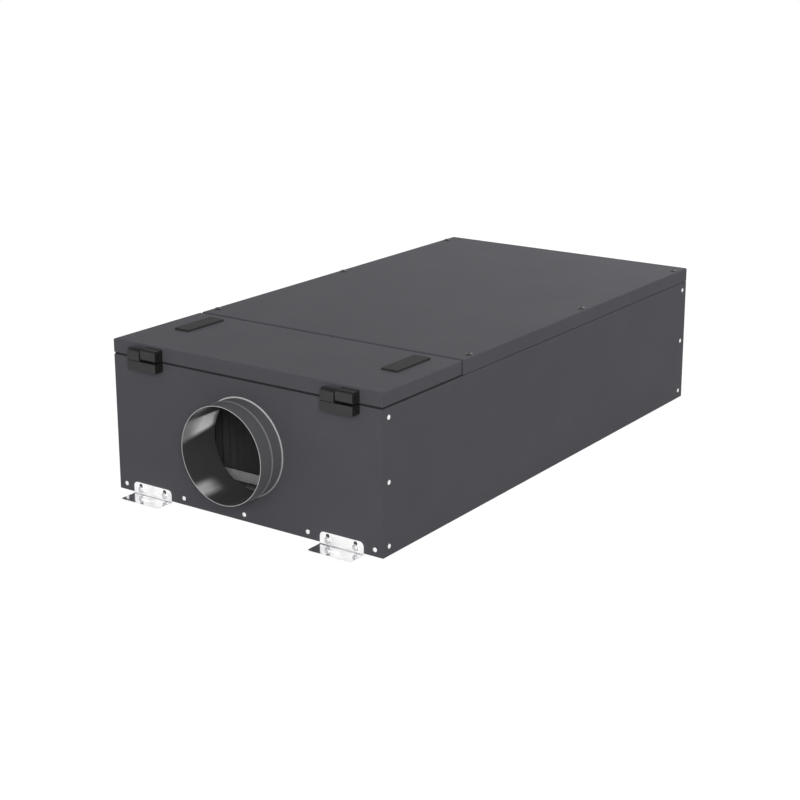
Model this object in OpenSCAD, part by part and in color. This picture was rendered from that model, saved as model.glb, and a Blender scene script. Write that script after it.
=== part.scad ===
// Flat supply air handling unit: a folded sheet casing with a hinged filter lid,
// a screwed rear cover, a round duct spigot at each end and four angle brackets.
// The front faces -Y, the width runs along X and z = 0 is the underside of the bracket feet.
// Heights named in the sections below count from the underside of the casing.

/* [Casing] */
// Width across the side panels
casing_w = 534; // [480:1:640]
// Length from the front panel to the rear panel
casing_l = 1000; // [900:1:1300]
// Height of the panels
casing_h = 229.8; // [215:0.1:290]
// Thickness of the folded sheet
sheet_t = 1.2; // [0.8:0.1:1.6]
// Width of the flange folded inwards along the top of the casing
rim_w = 20; // [16:1:24]
// Height of the lip folded up around the base tray
tray_lip = 22; // [16:1:26]
// Width of the return folded back at each end of the front and rear panels
return_w = 28; // [22:1:36]

/* [Lid and rear cover] */
// Length of the filter lid along the casing
lid_l = 208.3; // [196:0.1:235]
// Height of the lid's folded edge
lid_h = 22.6; // [20:0.1:30]
// Open seam between the lid and the casing, where the gasket shows
lid_seam = 3.4; // [3:0.1:5]
// Open seam between the lid and the rear cover
lid_gap = 5.2; // [5:0.1:8]
// Tight seam between the rear cover and the casing
cover_seam = 0.8; // [0.4:0.1:0.9]
// Outer radius of the folds along the top of the lid and the cover
bend_r = 2.5; // [2:0.1:4]
// Distance of the gasket from the outside of the casing
gasket_inset = 1; // [1:0.5:6]
// Width of the gasket
gasket_w = 12; // [8:0.5:13]

/* [Insulation] */
// Thickness of the lining on the side, front and rear panels
liner_t = 12; // [8:0.5:14]
// Thickness of the lining on the floor
floor_t = 12.3; // [8:0.1:16]

/* [Spigots] */
// Outer radius of the duct spigots
spigot_r = 79.3; // [60:0.1:85]
// Wall thickness of the spigots
spigot_wall = 0.9; // [0.6:0.1:1.5]
// Length of the spigots in front of the panel
spigot_l = 51.2; // [40:0.1:70]
// Height of the spigots' axis
spigot_z = 121.5; // [112:0.1:140]
// Reach of the spigots behind the face of the panel
spigot_back = 25; // [18:0.5:40]
// Width of the flange behind the panel
spigot_flange = 11; // [8:0.5:14]
// Width of the collar on the panel
collar_w = 1.9; // [1:0.1:4]
// Thickness of the collar on the panel
collar_t = 1; // [0.6:0.1:2]
// Distance of the stop bead from the panel
bead_pos = 23.7; // [15:0.1:30]
// Width of the stop bead
bead_w = 4.6; // [3:0.1:6]
// Height of the stop bead
bead_h = 1; // [0.6:0.1:2]

/* [Hinges] */
// Distance of each hinge's parting line from the nearer side of the casing
hinge_side = 73.6; // [56:0.1:117]
// Length of the knuckle on the casing
knuckle_l = 26; // [24:0.5:36]
// Length of the leaf on the lid
leaf_l = 32; // [24:0.1:36]
// Gap between the knuckle and the leaf
hinge_gap = 2.2; // [0.4:0.1:3]
// Radius of the knuckle
barrel_r = 8.8; // [7:0.1:9]
// Height of the hinge axis over the top of the panels
axis_rise = 13.3; // [13:0.1:14]
// Height of the hinge base below the top of the panels
hinge_drop = 13; // [10:0.5:18]
// Radius of the hinge pin
pin_r = 3; // [2:0.1:4]
// Length of the hinge pin
pin_l = 52; // [36:1:56]

/* [Grips] */
// Width of each grip across the lid
grip_w = 32; // [24:1:40]
// Length of each grip
grip_l = 91; // [70:1:110]
// Height of each grip
grip_h = 3; // [2.5:0.1:6]
// Distance of the grips' centre lines from the lid's sides
grip_side = 57.8; // [40:0.1:117]
// Distance of the grips from the lid's rear edge
grip_back = 20.3; // [12:0.1:40]

/* [Brackets] */
// Width of each bracket
bracket_w = 82; // [70:1:110]
// Distance of the brackets' centre lines from the sides of the casing
bracket_side = 75; // [60:1:127]
// Thickness of the brackets
bracket_t = 2.5; // [2:0.1:4]
// Height of the upright leaf
bracket_h = 19.3; // [16:0.1:22]
// Reach of the foot in front of the panel
foot_l = 35; // [28:0.5:45]
// Drop from the casing to the top of the foot
foot_drop = 1; // [0.5:0.1:8]
// Corner radius of the upright leaf
leaf_corner = 7.5; // [2:0.1:8]
// Corner radius of the foot
foot_corner = 5; // [2:0.1:8]
// Width of the slot in the foot
slot_w = 9; // [6:0.5:11]
// Length of the slot in the foot
slot_l = 20; // [14:1:40]
// Distance of the slot from the panel
slot_y = 17.5; // [15:0.5:19]
// Distance of the screw slots in the upright leaf from its middle
screw_x = 26; // [18:0.5:26]
// Distance of the screw slots from the top edge of the upright leaf
screw_margin = 1.8; // [1:0.1:4]
// Width of the screw slots
screw_slot_w = 6.6; // [4:0.1:7]
// Height of the screw slots from end to end
screw_slot_h = 12; // [8:0.1:12.5]

/* [Filter] */
// Distance of the filter's face from the front of the casing
filter_y = 100; // [80:1:115]
// Thickness of the filter
filter_t = 48; // [25:1:55]
// Width of the filter frame's bars
filter_bar = 17.5; // [12:0.5:25]
// Height of the sill under the filter
sill_h = 4; // [2:0.5:8]
// Reach of the filter guides' lips
guide_lip = 15; // [12:0.5:20]
// Distance between the filter's pleats
pleat_pitch = 16; // [10:1:30]
// Thickness of the filter's cloth
cloth_t = 2; // [1:0.1:3]

/* [Fan] */
// Radius of the fan wheel
wheel_r = 92; // [70:1:95]
// Width of the fan wheel's blades
blade_w = 56; // [40:1:70]
// Number of blades
blade_count = 7; // [5:1:11]
// Radius of the fan inlet
inlet_r = 60; // [45:1:65]
// Length of the inlet ring
inlet_l = 26; // [16:1:40]
// Width of the inlet ring's lip
inlet_lip = 10; // [6:0.5:10]
// Radius of the motor
motor_r = 46; // [35:1:55]
// Length of the motor
motor_l = 62; // [40:1:90]

/* [Hidden] */
$fn = 96;
// Running clearance of the hinge pin
pin_clear = 0.06;
// Clearance between the knuckle and the lid's front edge
barrel_clear = 0.5;
// Clearance where a loose piece lies beside its seat
seat_clear = 0.3;
// Clearance between the fan's inlet ring and the rail over it
fan_clear = 3;
// Thickness of the rail under the seam, of the fan's plates and of the filter guides
plate_t = 1.5;
// Width and height of the rail under the seam
rail_w = 44;
rail_h = 20;
// Steps in a rounded corner, a rolled bead and a blade
arc_steps = 6;
half_w = casing_w / 2;
half_l = casing_l / 2;
base_z = foot_drop + bracket_t;
floor_top = sheet_t + floor_t;
liner_x = half_w - 2 * sheet_t - liner_t;
end_gap = 2 * sheet_t;
lid_z = casing_h + lid_seam;
top_z = lid_z + lid_h;
cover_z = casing_h + cover_seam;
lid_rear = lid_l - half_l;
cover_front = lid_rear + lid_gap;
seam_y = lid_rear + lid_gap / 2;
rail_z = casing_h - sheet_t - rail_h;
axis_y = -half_l - barrel_r - barrel_clear;
axis_z = casing_h + axis_rise;
hinge_x = half_w - hinge_side;
block_top = casing_h + 1.8;
leaf_corner_r = 4.5;
leaf_rise = 9.5;
grip_x = half_w - grip_side;
bracket_x = half_w - bracket_side;
screw_z = bracket_h - screw_margin - screw_slot_h / 2;
filter_front = filter_y - half_l;
filter_x = half_w - rim_w - seat_clear;
filter_z = floor_top + sill_h;
filter_top = casing_h - 6;
guide_face = filter_front - seat_clear - plate_t;
guide_l = filter_t + 2 * (seat_clear + plate_t);
mouth_r = inlet_r + inlet_l / 2;
fan_y = seam_y + plate_t;
fan_z = rail_z - fan_clear - inlet_lip - mouth_r;
wheel_y = fan_y + inlet_l + 2;
wheel_back = wheel_y + blade_w + 2 * plate_t;
motor_y = wheel_back + 8;
motor_back = motor_y + motor_l;

PAINT = [0.30, 0.31, 0.33];
GALVANISED = [0.66, 0.68, 0.70];
ZINC = [0.80, 0.81, 0.83];
BLACK = [0.06, 0.06, 0.065];
RUBBER = [0.04, 0.04, 0.04];
FOIL = [0.55, 0.56, 0.57];
CLOTH = [0.13, 0.13, 0.135];

// Points of an arc from angle a to angle b
function arc(x, y, r, a, b) =
  [for (i = [0 : arc_steps]) let (w = a + (b - a) * i / arc_steps) [x + r * cos(w), y + r * sin(w)]];

// Points of a rolled bead, centred at s along a wall of radius r
function bead(r, s, half, rise) =
  [for (i = [0 : arc_steps]) [r + rise * sin(180 * i / arc_steps), s - half + 2 * half * i / arc_steps]];

function reversed(list) = [for (i = [len(list) - 1 : -1 : 0]) list[i]];

// Lift from the casing's underside to the floor that the feet stand on
module lifted() {
  translate([0, 0, base_z]) children();
}

// Box between two corners
module block(low, high) {
  translate(low) cube(high - low);
}

// Outline drawn in Y and Z, drawn out along X from a to b
module along_x(a, b) {
  translate([a, 0, 0]) rotate([90, 0, 90]) linear_extrude(b - a) children();
}

// Outline drawn in X and Z, drawn out along Y from a to b
module along_y(a, b) {
  translate([0, b, 0]) rotate([90, 0, 0]) linear_extrude(b - a) children();
}

// Rectangle with rounded upper corners
module top_rounded(low, high, r) {
  polygon(concat(
    [[low[0], low[1]], [high[0], low[1]]],
    arc(high[0] - r, high[1] - r, r, 0, 90),
    arc(low[0] + r, high[1] - r, r, 90, 180)
  ));
}

// Block with its four upper edges rounded like folded sheet
module folded_form(low, high, r) {
  intersection() {
    along_y(low[1], high[1]) top_rounded([low[0], low[2]], [high[0], high[2]], r);
    along_x(low[0], high[0]) top_rounded([low[1], low[2]], [high[1], high[2]], r);
  }
}

// Shallow pan of folded sheet, open below
module pan(low, high) {
  inset = [sheet_t, sheet_t, 0];
  difference() {
    folded_form(low, high, bend_r);
    folded_form(low + inset - [0, 0, 1], high - [sheet_t, sheet_t, sheet_t], bend_r - sheet_t);
  }
}

// Insulation that fills a pan down to z
module pan_core(low, high, z) {
  inset = sheet_t + seat_clear;
  folded_form(
    [low[0] + inset, low[1] + inset, z],
    [high[0] - inset, high[1] - inset, high[2] - inset],
    bend_r - sheet_t
  );
}

module base_tray() {
  x = half_w - sheet_t;
  y = half_l - sheet_t;
  color(PAINT) lifted() difference() {
    block([-x, -y, 0], [x, y, tray_lip]);
    block([sheet_t - x, sheet_t - y, sheet_t], [x - sheet_t, y - sheet_t, tray_lip + 1]);
  }
}

// Right-hand side panel: a web with a flange folded inwards along its top
module side_panel() {
  y = half_l - rim_w - seat_clear;
  lifted() union() {
    block([half_w - sheet_t, -half_l, 0], [half_w, half_l, casing_h]);
    block([half_w - rim_w, -y, casing_h - sheet_t], [half_w, y, casing_h]);
  }
}

module left_side_panel() {
  color(PAINT) mirror([1, 0, 0]) side_panel();
}

module right_side_panel() {
  color(PAINT) side_panel();
}

// Front panel: a face with a flange folded back along its top, a return at each end and the duct hole
module end_panel() {
  x = half_w - sheet_t;
  lifted() difference() {
    union() {
      block([-x, -half_l, 0], [x, sheet_t - half_l, casing_h]);
      block([-x, -half_l, casing_h - sheet_t], [x, rim_w - half_l, casing_h]);
      for (side = [-1, 1])
        translate([side * (x - sheet_t / 2), 0, 0])
          block(
            [-sheet_t / 2, -half_l, tray_lip + seat_clear],
            [sheet_t / 2, return_w - half_l, casing_h - sheet_t]
          );
    }
    translate([0, 1 - half_l + sheet_t, spigot_z]) rotate([90, 0, 0])
      cylinder(r = spigot_r + seat_clear, h = sheet_t + 2);
  }
}

module front_panel() {
  color(PAINT) end_panel();
}

module rear_panel() {
  color(PAINT) mirror([0, 1, 0]) end_panel();
}

// Front spigot: a thin tube through the panel, with a flange behind it, a collar on it and a stop bead
module spigot() {
  bore = spigot_r - spigot_wall;
  flange = spigot_r + spigot_flange;
  collar = spigot_r + collar_w;
  lifted() translate([0, -half_l, spigot_z]) rotate([90, 0, 0]) rotate_extrude() polygon(concat(
    [[bore, spigot_l], [bore, -spigot_back], [spigot_r, -spigot_back]],
    [[spigot_r, -2 * sheet_t], [flange, -2 * sheet_t], [flange, -sheet_t], [spigot_r, -sheet_t]],
    [[spigot_r, 0], [collar, 0], [collar, collar_t], [spigot_r, collar_t]],
    bead(spigot_r, bead_pos, bead_w / 2, bead_h),
    [[spigot_r, spigot_l]]
  ));
}

module front_spigot() {
  color(PAINT) spigot();
}

module rear_spigot() {
  color(PAINT) mirror([0, 1, 0]) spigot();
}

module floor_liner() {
  x = half_w - 2 * sheet_t;
  y = half_l - end_gap;
  color(FOIL) lifted() block([-x, -y, sheet_t], [x, y, floor_top]);
}

module side_liner() {
  y = half_l - end_gap;
  lifted() block([liner_x, -y, floor_top], [liner_x + liner_t, y, casing_h - sheet_t]);
}

module left_liner() {
  color(FOIL) mirror([1, 0, 0]) side_liner();
}

module right_liner() {
  color(FOIL) side_liner();
}

module end_liner() {
  y = end_gap - half_l;
  lifted() difference() {
    block([-liner_x, y, floor_top], [liner_x, y + liner_t, casing_h - sheet_t]);
    translate([0, y + liner_t + 1, spigot_z]) rotate([90, 0, 0])
      cylinder(r = spigot_r + 2, h = liner_t + 2);
  }
}

module front_liner() {
  color(FOIL) end_liner();
}

module rear_liner() {
  color(FOIL) mirror([0, 1, 0]) end_liner();
}

// Box rail across the casing, under the seam between the lid and the rear cover
module seam_rail() {
  y = rail_w / 2;
  color(GALVANISED) lifted() translate([0, seam_y, rail_z]) difference() {
    block([-liner_x, -y, 0], [liner_x, y, rail_h]);
    block([-liner_x - 1, plate_t - y, plate_t], [liner_x + 1, y - plate_t, rail_h - plate_t]);
  }
}

// Ring of soft rubber on the casing's rim and on the rail
module lid_gasket() {
  x = half_w - gasket_inset;
  front = gasket_inset - half_l;
  rear = lid_rear - gasket_inset;
  top = lid_z - seat_clear;
  inner_x = half_w - rim_w - seat_clear;
  color(RUBBER) lifted() union() {
    difference() {
      block([-x, front, casing_h], [x, rear, top]);
      block([gasket_w - x, front + gasket_w, casing_h - 1], [x - gasket_w, rear - gasket_w, top + 1]);
    }
    block([-inner_x, rear - gasket_w, casing_h - sheet_t], [inner_x, rear, casing_h]);
  }
}

module rear_cover() {
  color(PAINT) lifted() pan([-half_w, cover_front, cover_z], [half_w, half_l, top_z]);
}

module rear_cover_core() {
  color(FOIL) lifted() pan_core([-half_w, cover_front, cover_z], [half_w, half_l, top_z], casing_h);
}

// Filter frame: a ring of channel section, open towards the cloth
module filter_frame() {
  rear = filter_front + filter_t;
  color(GALVANISED) lifted() difference() {
    block([-filter_x, filter_front, filter_z], [filter_x, rear, filter_top]);
    block(
      [filter_bar - filter_x, filter_front - 1, filter_z + filter_bar],
      [filter_x - filter_bar, rear + 1, filter_top - filter_bar]
    );
    block(
      [plate_t - filter_x, filter_front + plate_t, filter_z + plate_t],
      [filter_x - plate_t, rear - plate_t, filter_top - plate_t]
    );
  }
}

// Pleated cloth that stands in the channel of the frame
module filter_cloth() {
  span = 2 * (filter_x - plate_t);
  folds = 2 * floor(span / pleat_pitch / 2) * 2;
  inset = 4;
  depth = filter_t - 2 * inset - cloth_t;
  near = [for (i = [0 : folds]) [span * (i / folds - 0.5), i % 2 == 0 ? 0 : depth]];
  far = [for (i = [folds : -1 : 0]) near[i] + [0, cloth_t]];
  color(CLOTH) lifted() translate([0, filter_front + inset, filter_z + plate_t])
    linear_extrude(filter_top - filter_z - 2 * plate_t) polygon(concat(near, far));
}

module filter_sill() {
  setback = 12;
  color(GALVANISED) lifted() block(
    [-filter_x, filter_front + setback, floor_top],
    [filter_x, filter_front + filter_t - setback, filter_z]
  );
}

// Upright channel on the right-hand lining that the filter slides down
module filter_guide() {
  top = casing_h - sheet_t - seat_clear;
  lifted() difference() {
    block([liner_x - guide_lip, guide_face, floor_top], [liner_x, guide_face + guide_l, top]);
    block(
      [liner_x - guide_lip - 1, guide_face + plate_t, floor_top - 1],
      [liner_x - plate_t, guide_face + guide_l - plate_t, top + 1]
    );
  }
}

module left_filter_guide() {
  color(GALVANISED) mirror([1, 0, 0]) filter_guide();
}

module right_filter_guide() {
  color(GALVANISED) filter_guide();
}

module fan_bulkhead() {
  color(GALVANISED) lifted() difference() {
    block([-liner_x, seam_y, floor_top], [liner_x, fan_y, rail_z]);
    translate([0, fan_y + 1, fan_z]) rotate([90, 0, 0]) cylinder(r = mouth_r, h = plate_t + 2);
  }
}

// Bell-mouthed ring between the bulkhead and the fan wheel
module fan_inlet_ring() {
  bell = [for (i = [0 : arc_steps]) let (w = 90 * i / arc_steps)
    [mouth_r - (mouth_r - inlet_r) * sin(w), inlet_l * (1 - cos(w))]];
  skin = [for (p = reversed(bell)) p + [plate_t, 0]];
  lip = [[mouth_r + inlet_lip, plate_t], [mouth_r + inlet_lip, 0]];
  color(GALVANISED) lifted() translate([0, fan_y, fan_z]) rotate([-90, 0, 0])
    rotate_extrude() polygon(concat(bell, skin, lip));
}

// Backward-curved blade between the shroud and the back plate of the fan wheel
module fan_blade() {
  root = inlet_r + 2;
  sweep = 48;
  half = 1.2;
  mid = [for (i = [0 : arc_steps])
    let (share = i / arc_steps, r = root + (wheel_r - root) * share, w = sweep * share)
    [r * cos(w), r * sin(w)]];
  one = [for (p = mid) p + [half, -half]];
  two = [for (p = reversed(mid)) p + [-half, half]];
  linear_extrude(blade_w + plate_t) polygon(concat(one, two));
}

module fan_wheel() {
  hub_r = 30;
  color(BLACK) lifted() translate([0, wheel_y, fan_z]) rotate([-90, 0, 0]) union() {
    difference() {
      cylinder(r = wheel_r + 2, h = plate_t);
      translate([0, 0, -1]) cylinder(r = inlet_r + 3, h = plate_t + 2);
    }
    for (i = [0 : blade_count - 1])
      translate([0, 0, plate_t / 2]) rotate(i * 360 / blade_count) fan_blade();
    translate([0, 0, blade_w + plate_t]) cylinder(r = wheel_r + 2, h = plate_t);
    translate([0, 0, blade_w + plate_t]) cylinder(r = hub_r, h = motor_y - wheel_y - blade_w - plate_t);
  }
}

module fan_motor() {
  color(BLACK) lifted() translate([0, motor_y, fan_z]) rotate([-90, 0, 0])
    cylinder(r = motor_r, h = motor_l);
}

// Upright plate behind the motor with a foot on the floor lining
module motor_bracket() {
  x = motor_r + 20;
  foot = 60;
  color(GALVANISED) lifted() union() {
    block([-x, motor_back, floor_top], [x, motor_back + plate_t, fan_z + motor_r]);
    block([-x, motor_back, floor_top], [x, motor_back + foot, floor_top + plate_t]);
  }
}

// Rounded slot cut, drawn flat, with its ends apart along the first axis
module slot_outline(length, width) {
  reach = (length - width) / 2;
  union() {
    square([2 * reach, width], center = true);
    for (side = [-1, 1])
      translate([side * reach, 0]) circle(r = width / 2);
  }
}

// Front right-hand bracket: an upright leaf on the panel and a foot that points forwards
module bracket() {
  x = bracket_w / 2;
  bend = 1.8 * bracket_t;
  front = -half_l - foot_l;
  translate([bracket_x, 0, 0]) difference() {
    union() {
      along_y(-half_l - bracket_t, -half_l)
        top_rounded([-x, bend], [x, base_z + bracket_h], leaf_corner);
      linear_extrude(bracket_t) mirror([0, 1]) translate([0, half_l])
        top_rounded([-x, bend], [x, foot_l], foot_corner);
      along_x(-x, x) polygon(concat(
        arc(-half_l - bend, bend, bend, 270, 360),
        arc(-half_l - bend, bend, bend - bracket_t, 360, 270)
      ));
    }
    translate([0, -half_l - slot_y, -1]) linear_extrude(bracket_t + 2) slot_outline(slot_l, slot_w);
    for (side = [-1, 1])
      translate([side * screw_x, 0, base_z + screw_z]) along_y(-half_l - bracket_t - 1, 1 - half_l)
        rotate(90) slot_outline(screw_slot_h, screw_slot_w);
  }
}

module front_left_bracket() {
  color(ZINC) mirror([1, 0, 0]) bracket();
}

module front_right_bracket() {
  color(ZINC) bracket();
}

module rear_left_bracket() {
  color(ZINC) mirror([1, 0, 0]) mirror([0, 1, 0]) bracket();
}

module rear_right_bracket() {
  color(ZINC) mirror([0, 1, 0]) bracket();
}

// Bore for the hinge pin at parting line x
module pin_bore(x) {
  length = 2 * (knuckle_l + leaf_l);
  translate([x - length / 2, axis_y, axis_z]) rotate([0, 90, 0])
    cylinder(r = pin_r + pin_clear, h = length);
}

// Hinge base on the casing: a block on the front panel with a round knuckle over its left half
module hinge_base(x) {
  left = x - knuckle_l - hinge_gap / 2;
  right = x - hinge_gap / 2;
  front = axis_y - barrel_r;
  rear = axis_y + barrel_r;
  groove = 1.2;
  color(BLACK) lifted() difference() {
    union() {
      block([left, front, casing_h - hinge_drop], [x + leaf_l + hinge_gap / 2, -half_l, block_top]);
      block([left, front + groove, casing_h], [right, rear, axis_z]);
      block([left, front, block_top + groove], [right, rear, axis_z]);
      translate([left, axis_y, axis_z]) rotate([0, 90, 0]) cylinder(r = barrel_r, h = knuckle_l);
    }
    pin_bore(x);
  }
}

module left_hinge_base() {
  hinge_base(-hinge_x);
}

module right_hinge_base() {
  hinge_base(hinge_x);
}

module hinge_pin(x) {
  color(ZINC) lifted() translate([x - pin_l / 2, axis_y, axis_z]) rotate([0, 90, 0])
    cylinder(r = pin_r, h = pin_l);
}

module left_hinge_pin() {
  hinge_pin(-hinge_x);
}

module right_hinge_pin() {
  hinge_pin(hinge_x);
}

module filter_lid() {
  color(PAINT) lifted() pan([-half_w, -half_l, lid_z], [half_w, lid_rear, top_z]);
}

module lid_core() {
  color(FOIL) lifted() pan_core([-half_w, -half_l, lid_z], [half_w, lid_rear, top_z], lid_z);
}

// Hinge leaf on the lid's front edge, over the right half of the hinge base
module hinge_leaf(x) {
  r = leaf_corner_r;
  front = axis_y - barrel_r;
  low = axis_z - barrel_r;
  high = axis_z + leaf_rise;
  start = x + hinge_gap / 2;
  color(BLACK) lifted() difference() {
    along_x(start, start + leaf_l) polygon(concat(
      [[-half_l, low], [-half_l, high]],
      arc(front + r, high - r, r, 90, 180),
      arc(front + r, low + r, r, 180, 270)
    ));
    pin_bore(x);
  }
}

module left_hinge_leaf() {
  hinge_leaf(-hinge_x);
}

module right_hinge_leaf() {
  hinge_leaf(hinge_x);
}

// Grip plate on the lid, with a bevelled edge in two steps
module grip(x) {
  corner = 4;
  step = 1;
  color(BLACK) lifted() translate([x, lid_rear - grip_back - grip_l / 2, top_z]) union() {
    rounded_plate(grip_w, grip_l, corner, grip_h - step);
    rounded_plate(grip_w - 2 * step, grip_l - 2 * step, corner - step, grip_h);
  }
}

module rounded_plate(w, l, r, h) {
  linear_extrude(h) polygon(concat(
    arc(w / 2 - r, l / 2 - r, r, 0, 90),
    arc(r - w / 2, l / 2 - r, r, 90, 180),
    arc(r - w / 2, r - l / 2, r, 180, 270),
    arc(w / 2 - r, r - l / 2, r, 270, 360)
  ));
}

module left_grip() {
  grip(-grip_x);
}

module right_grip() {
  grip(grip_x);
}

base_tray();
left_side_panel();
right_side_panel();
front_panel();
rear_panel();
front_spigot();
rear_spigot();
floor_liner();
left_liner();
right_liner();
front_liner();
rear_liner();
seam_rail();
lid_gasket();
rear_cover();
rear_cover_core();
filter_frame();
filter_cloth();
filter_sill();
left_filter_guide();
right_filter_guide();
fan_bulkhead();
fan_inlet_ring();
fan_wheel();
fan_motor();
motor_bracket();
front_left_bracket();
front_right_bracket();
rear_left_bracket();
rear_right_bracket();
left_hinge_base();
right_hinge_base();
left_hinge_pin();
right_hinge_pin();
filter_lid();
lid_core();
left_hinge_leaf();
right_hinge_leaf();
left_grip();
right_grip();
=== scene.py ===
import bpy
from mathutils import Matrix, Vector


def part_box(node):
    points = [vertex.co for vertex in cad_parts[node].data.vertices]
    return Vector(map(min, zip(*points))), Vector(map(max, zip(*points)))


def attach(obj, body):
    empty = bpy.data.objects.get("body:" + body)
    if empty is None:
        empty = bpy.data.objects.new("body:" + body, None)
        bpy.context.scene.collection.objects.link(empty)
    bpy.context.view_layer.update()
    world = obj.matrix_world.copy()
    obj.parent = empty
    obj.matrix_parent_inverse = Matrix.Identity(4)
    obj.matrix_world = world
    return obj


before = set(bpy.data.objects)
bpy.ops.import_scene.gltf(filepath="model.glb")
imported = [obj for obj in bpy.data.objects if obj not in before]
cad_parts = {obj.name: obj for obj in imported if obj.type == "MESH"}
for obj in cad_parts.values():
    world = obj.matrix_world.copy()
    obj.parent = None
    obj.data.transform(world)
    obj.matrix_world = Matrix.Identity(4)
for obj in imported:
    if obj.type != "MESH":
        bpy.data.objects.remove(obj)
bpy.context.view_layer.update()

# Casing: a tray, two side panels and two end panels folded from thin steel sheet. They are
# coated dark grey with a fine-textured powder, baked, and riveted together at the corners.
casing_names = ("base_tray", "left_side_panel", "right_side_panel", "front_panel", "rear_panel")
coat_colour = (0.0757, 0.0759, 0.0855, 1.0)
coat_light = (0.0827, 0.0828, 0.0926, 1.0)
coat_worn = (0.11, 0.11, 0.118, 1.0)
coat_wear_share = 0.35
sheet_edge = 0.0005
edge_steps = 3
sharp_turn = 0.6
weld_reach = 1e-6


def add_node(tree, kind, inputs=None, **settings):
    """One node with its settings and inputs. An input takes a value or another node's output."""
    node = tree.nodes.new(kind)
    for name, value in settings.items():
        setattr(node, name, value)
    for key, value in (inputs or {}).items():
        if isinstance(value, bpy.types.NodeSocket):
            tree.links.new(value, node.inputs[key])
        else:
            node.inputs[key].default_value = value
    return node


def make_effect(name, inputs, outputs):
    """An empty shader group with float sockets, with its input node and its output node."""
    group = bpy.data.node_groups.new(name, "ShaderNodeTree")
    for label in inputs:
        group.interface.new_socket(label, in_out="INPUT", socket_type="NodeSocketFloat")
    for label in outputs:
        group.interface.new_socket(label, in_out="OUTPUT", socket_type="NodeSocketFloat")
    return group, group.nodes.new("NodeGroupInput"), group.nodes.new("NodeGroupOutput")


def place_effect(tree, group, inputs):
    """An effect put into a material with its own values."""
    return add_node(tree, "ShaderNodeGroup", inputs, node_tree=group)


def tint(tree, factor, low, high):
    """A colour that runs from low to high with the factor."""
    mix = add_node(tree, "ShaderNodeMix", {0: factor, 6: low, 7: high}, data_type="RGBA")
    return mix.outputs[2]


def spread(tree, value, span, result, smooth=False):
    """The value's span stretched over the result's span and held there."""
    inputs = {
        "Value": value,
        "From Min": span[0],
        "From Max": span[1],
        "To Min": result[0],
        "To Max": result[1],
    }
    curve = "SMOOTHSTEP" if smooth else "LINEAR"
    return add_node(tree, "ShaderNodeMapRange", inputs, interpolation_type=curve).outputs[0]


def calculate(tree, operation, first, second):
    """Plain arithmetic on two values."""
    inputs = {0: first, 1: second}
    return add_node(tree, "ShaderNodeMath", inputs, operation=operation).outputs[0]


def product(tree, first, *others):
    """Several values multiplied together."""
    for other in others:
        first = calculate(tree, "MULTIPLY", first, other)
    return first


# Fine grain and slow cloudiness, which most of the finishes show.
grain, grain_in, grain_out = make_effect("grain", ("Grain Size", "Cloud Size"), ("Grain", "Cloud"))
grain_place = add_node(grain, "ShaderNodeTexCoord").outputs["Object"]
for size_name, result_name, octaves in (("Grain Size", "Grain", 2.0), ("Cloud Size", "Cloud", 4.0)):
    per_metre = calculate(grain, "DIVIDE", 1.0, grain_in.outputs[size_name])
    pattern = {"Vector": grain_place, "Scale": per_metre, "Detail": octaves}
    cells = add_node(grain, "ShaderNodeTexNoise", pattern)
    grain.links.new(cells.outputs[0], grain_out.inputs[result_name])

# Wear where an edge has been handled: the turn of the surface across a narrow width.
edge_wear, wear_in, wear_out = make_effect("edge_wear", ("Width", "Patch Size"), ("Wear",))
wear_place = add_node(edge_wear, "ShaderNodeTexCoord").outputs["Object"]
rounded = add_node(edge_wear, "ShaderNodeBevel", {"Radius": wear_in.outputs["Width"]}, samples=6)
facing = add_node(edge_wear, "ShaderNodeNewGeometry").outputs["Normal"]
agree = add_node(
    edge_wear, "ShaderNodeVectorMath", {0: rounded.outputs[0], 1: facing}, operation="DOT_PRODUCT"
)
turned = spread(edge_wear, agree.outputs["Value"], (0.99, 0.8), (0.0, 1.0))
per_metre = calculate(edge_wear, "DIVIDE", 1.0, wear_in.outputs["Patch Size"])
patches = add_node(edge_wear, "ShaderNodeTexNoise", {"Vector": wear_place, "Scale": per_metre})
broken = spread(edge_wear, patches.outputs[0], (0.35, 0.65), (0.2, 1.0))
worn = calculate(edge_wear, "MULTIPLY", turned, broken)
edge_wear.links.new(worn, wear_out.inputs["Wear"])


def new_finish(name, specular, metallic):
    """A material with its shader, before its patterns are wired in."""
    finish = bpy.data.materials.new(name)
    finish.use_nodes = True
    shader = finish.node_tree.nodes["Principled BSDF"]
    shader.inputs["Specular IOR Level"].default_value = specular
    shader.inputs["Metallic"].default_value = metallic
    return finish, finish.node_tree, shader


def lay_finish(tree, shader, look, roughness):
    """Wires a finish's colour and roughness."""
    tree.links.new(look, shader.inputs["Base Color"])
    tree.links.new(roughness, shader.inputs["Roughness"])


def set_relief(tree, shader, height, depth, strength):
    """Fine relief on the surface from a height pattern."""
    inputs = {"Height": height, "Distance": depth, "Strength": strength}
    bump = add_node(tree, "ShaderNodeBump", inputs)
    tree.links.new(bump.outputs[0], shader.inputs["Normal"])


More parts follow.
